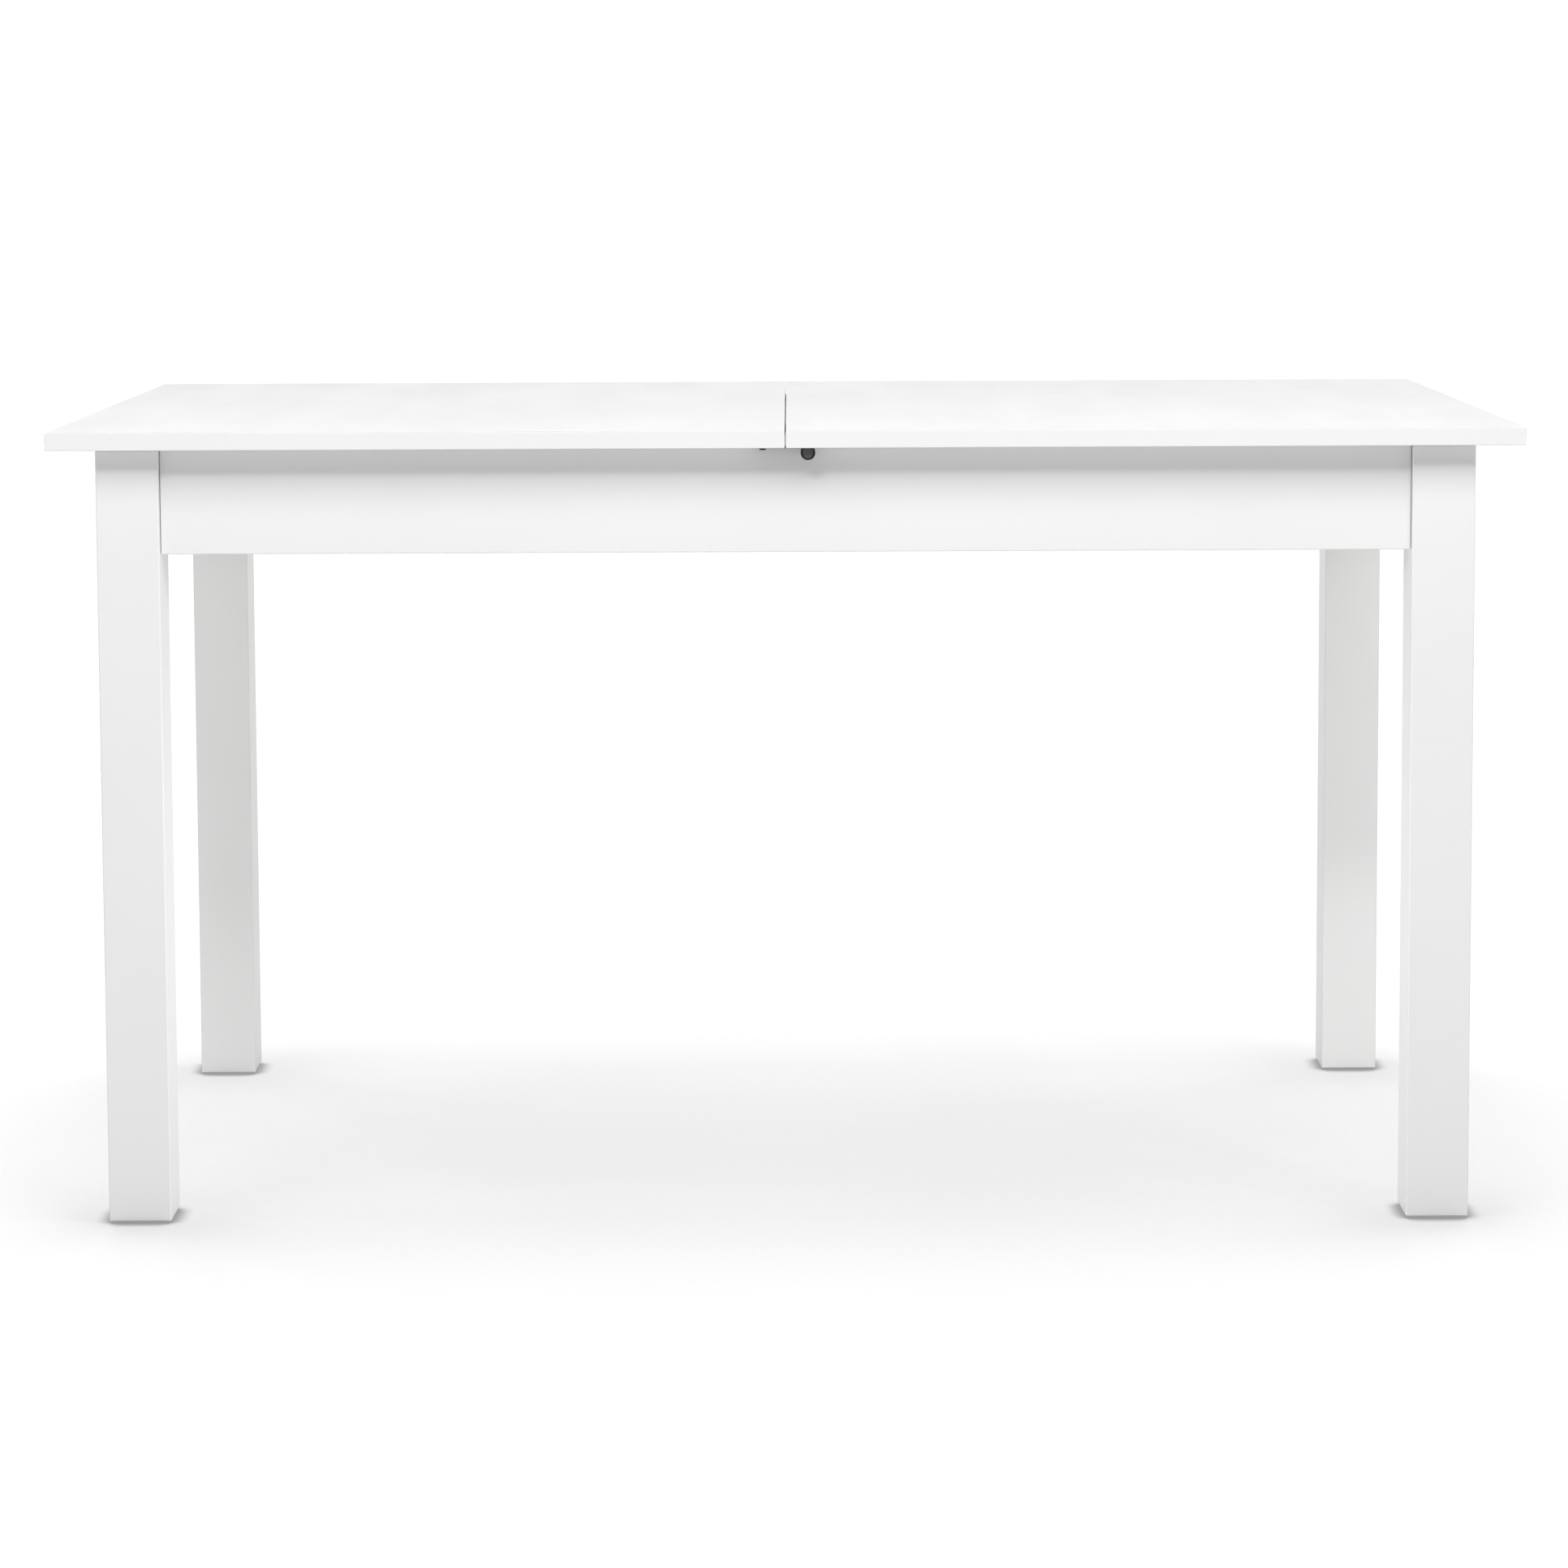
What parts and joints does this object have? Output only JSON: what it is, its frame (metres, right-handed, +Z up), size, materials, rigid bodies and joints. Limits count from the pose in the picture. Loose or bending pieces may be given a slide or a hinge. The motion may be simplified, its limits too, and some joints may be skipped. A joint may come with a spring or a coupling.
{
  "type": "extendable dining table",
  "caption": "Rectangular dining table on square legs; the top is split across the middle, rolls apart on steel rails and takes a loose leaf stored in the frame.",
  "frame": {"origin": "on the floor, under the middle of the closed top", "axes": "+X along the table's length to the right, -Y the front, +Z up"},
  "size_m": [1.4, 0.8, 0.77],
  "materials": {
    "white_top": "white melamine board, satin",
    "white_frame": "white painted board, satin",
    "zinc_steel": "zinc plated",
    "black_steel": "black, semi-matt",
    "black_plastic": "moulded black",
    "white_nylon": "moulded natural white",
    "beech": "plain planed beech"
  },
  "bodies": {
    "frame": {"back_apron": "white_frame", "back_left_corner_plate": "zinc_steel", "back_left_leg": "white_frame", "back_left_leg_bolt": "zinc_steel", "back_left_leg_glide": "white_nylon", "back_left_leg_nut": "zinc_steel", "back_left_pad": "white_nylon", "back_rail": "zinc_steel", "back_right_corner_plate": "zinc_steel", "back_right_leg": "white_frame", "back_right_leg_bolt": "zinc_steel", "back_right_leg_glide": "white_nylon", "back_right_leg_nut": "zinc_steel", "back_right_pad": "white_nylon", "front_apron": "white_frame", "front_left_corner_plate": "zinc_steel", "front_left_leg": "white_frame", "front_left_leg_bolt": "zinc_steel", "front_left_leg_glide": "white_nylon", "front_left_leg_nut": "zinc_steel", "front_left_pad": "white_nylon", "front_rail": "zinc_steel", "front_right_corner_plate": "zinc_steel", "front_right_leg": "white_frame", "front_right_leg_bolt": "zinc_steel", "front_right_leg_glide": "white_nylon", "front_right_leg_nut": "zinc_steel", "front_right_pad": "white_nylon", "left_apron": "white_frame", "left_leaf_bearer": "beech", "right_apron": "white_frame", "right_leaf_bearer": "beech"},
    "left_top": {"left_top_half": "white_top", "front_seam_dowel": "beech", "back_seam_dowel": "beech", "front_left_carriage": "zinc_steel", "back_left_carriage": "zinc_steel", "front_lock_stud": "black_steel", "back_lock_pivot": "black_steel"},
    "right_top": {"right_top_half": "white_top", "front_right_carriage": "zinc_steel", "back_right_carriage": "zinc_steel", "front_lock_pivot": "black_steel", "back_lock_stud": "black_steel"},
    "front_lock": {"front_lock_lever": "black_steel", "front_lock_grip": "black_plastic"},
    "back_lock": {"back_lock_lever": "black_steel", "back_lock_grip": "black_plastic"},
    "leaf": {"insert_leaf": "white_top", "left_leaf_dowel": "beech", "right_leaf_dowel": "beech"},
    "back_left_inner_roller": {"back_left_inner_roller": "white_nylon"},
    "back_left_outer_roller": {"back_left_outer_roller": "white_nylon"},
    "back_right_inner_roller": {"back_right_inner_roller": "white_nylon"},
    "back_right_outer_roller": {"back_right_outer_roller": "white_nylon"},
    "front_left_inner_roller": {"front_left_inner_roller": "white_nylon"},
    "front_left_outer_roller": {"front_left_outer_roller": "white_nylon"},
    "front_right_inner_roller": {"front_right_inner_roller": "white_nylon"},
    "front_right_outer_roller": {"front_right_outer_roller": "white_nylon"}
  },
  "joints": [
    {"name": "left_top_slide", "type": "slide", "parent": "frame", "child": "left_top", "axis": [-1, 0, 0], "range_m": [0, 0.2]},
    {"name": "right_top_slide", "type": "slide", "parent": "frame", "child": "right_top", "axis": [1, 0, 0], "range_m": [0, 0.2]},
    {"name": "front_lock_swing", "type": "hinge", "parent": "right_top", "child": "front_lock", "pos_m": [0.0215, -0.366, 0.7519], "axis": [0, 0, 1], "range_deg": [0, 18]},
    {"name": "back_lock_swing", "type": "hinge", "parent": "left_top", "child": "back_lock", "pos_m": [-0.0215, 0.366, 0.7519], "axis": [0, 0, 1], "range_deg": [0, 18]},
    {"name": "leaf_lift", "type": "slide", "parent": "frame", "child": "leaf", "axis": [0, 0, 1], "range_m": [0, 0.04]},
    {"name": "back_left_inner_roll", "type": "hinge", "parent": "left_top", "child": "back_left_inner_roller", "pos_m": [-0.04, 0.3322, 0.7285], "axis": [0, -1, 0], "range_deg": [0, 810]},
    {"name": "back_left_outer_roll", "type": "hinge", "parent": "left_top", "child": "back_left_outer_roller", "pos_m": [-0.344, 0.3322, 0.7285], "axis": [0, -1, 0], "range_deg": [0, 810]},
    {"name": "back_right_inner_roll", "type": "hinge", "parent": "right_top", "child": "back_right_inner_roller", "pos_m": [0.04, 0.3322, 0.7285], "axis": [0, 1, 0], "range_deg": [0, 810]},
    {"name": "back_right_outer_roll", "type": "hinge", "parent": "right_top", "child": "back_right_outer_roller", "pos_m": [0.344, 0.3322, 0.7285], "axis": [0, 1, 0], "range_deg": [0, 810]},
    {"name": "front_left_inner_roll", "type": "hinge", "parent": "left_top", "child": "front_left_inner_roller", "pos_m": [-0.04, -0.3322, 0.7285], "axis": [0, -1, 0], "range_deg": [0, 810]},
    {"name": "front_left_outer_roll", "type": "hinge", "parent": "left_top", "child": "front_left_outer_roller", "pos_m": [-0.344, -0.3322, 0.7285], "axis": [0, -1, 0], "range_deg": [0, 810]},
    {"name": "front_right_inner_roll", "type": "hinge", "parent": "right_top", "child": "front_right_inner_roller", "pos_m": [0.04, -0.3322, 0.7285], "axis": [0, 1, 0], "range_deg": [0, 810]},
    {"name": "front_right_outer_roll", "type": "hinge", "parent": "right_top", "child": "front_right_outer_roller", "pos_m": [0.344, -0.3322, 0.7285], "axis": [0, 1, 0], "range_deg": [0, 810]}
  ],
  "couplings": [
    {"joint": "back_left_inner_roll", "follows": "left_top_slide", "rad_per_m": 70.422},
    {"joint": "back_left_outer_roll", "follows": "left_top_slide", "rad_per_m": 70.422},
    {"joint": "back_right_inner_roll", "follows": "right_top_slide", "rad_per_m": 70.422},
    {"joint": "back_right_outer_roll", "follows": "right_top_slide", "rad_per_m": 70.422},
    {"joint": "front_left_inner_roll", "follows": "left_top_slide", "rad_per_m": 70.422},
    {"joint": "front_left_outer_roll", "follows": "left_top_slide", "rad_per_m": 70.422},
    {"joint": "front_right_inner_roll", "follows": "right_top_slide", "rad_per_m": 70.422},
    {"joint": "front_right_outer_roll", "follows": "right_top_slide", "rad_per_m": 70.422}
  ]
}
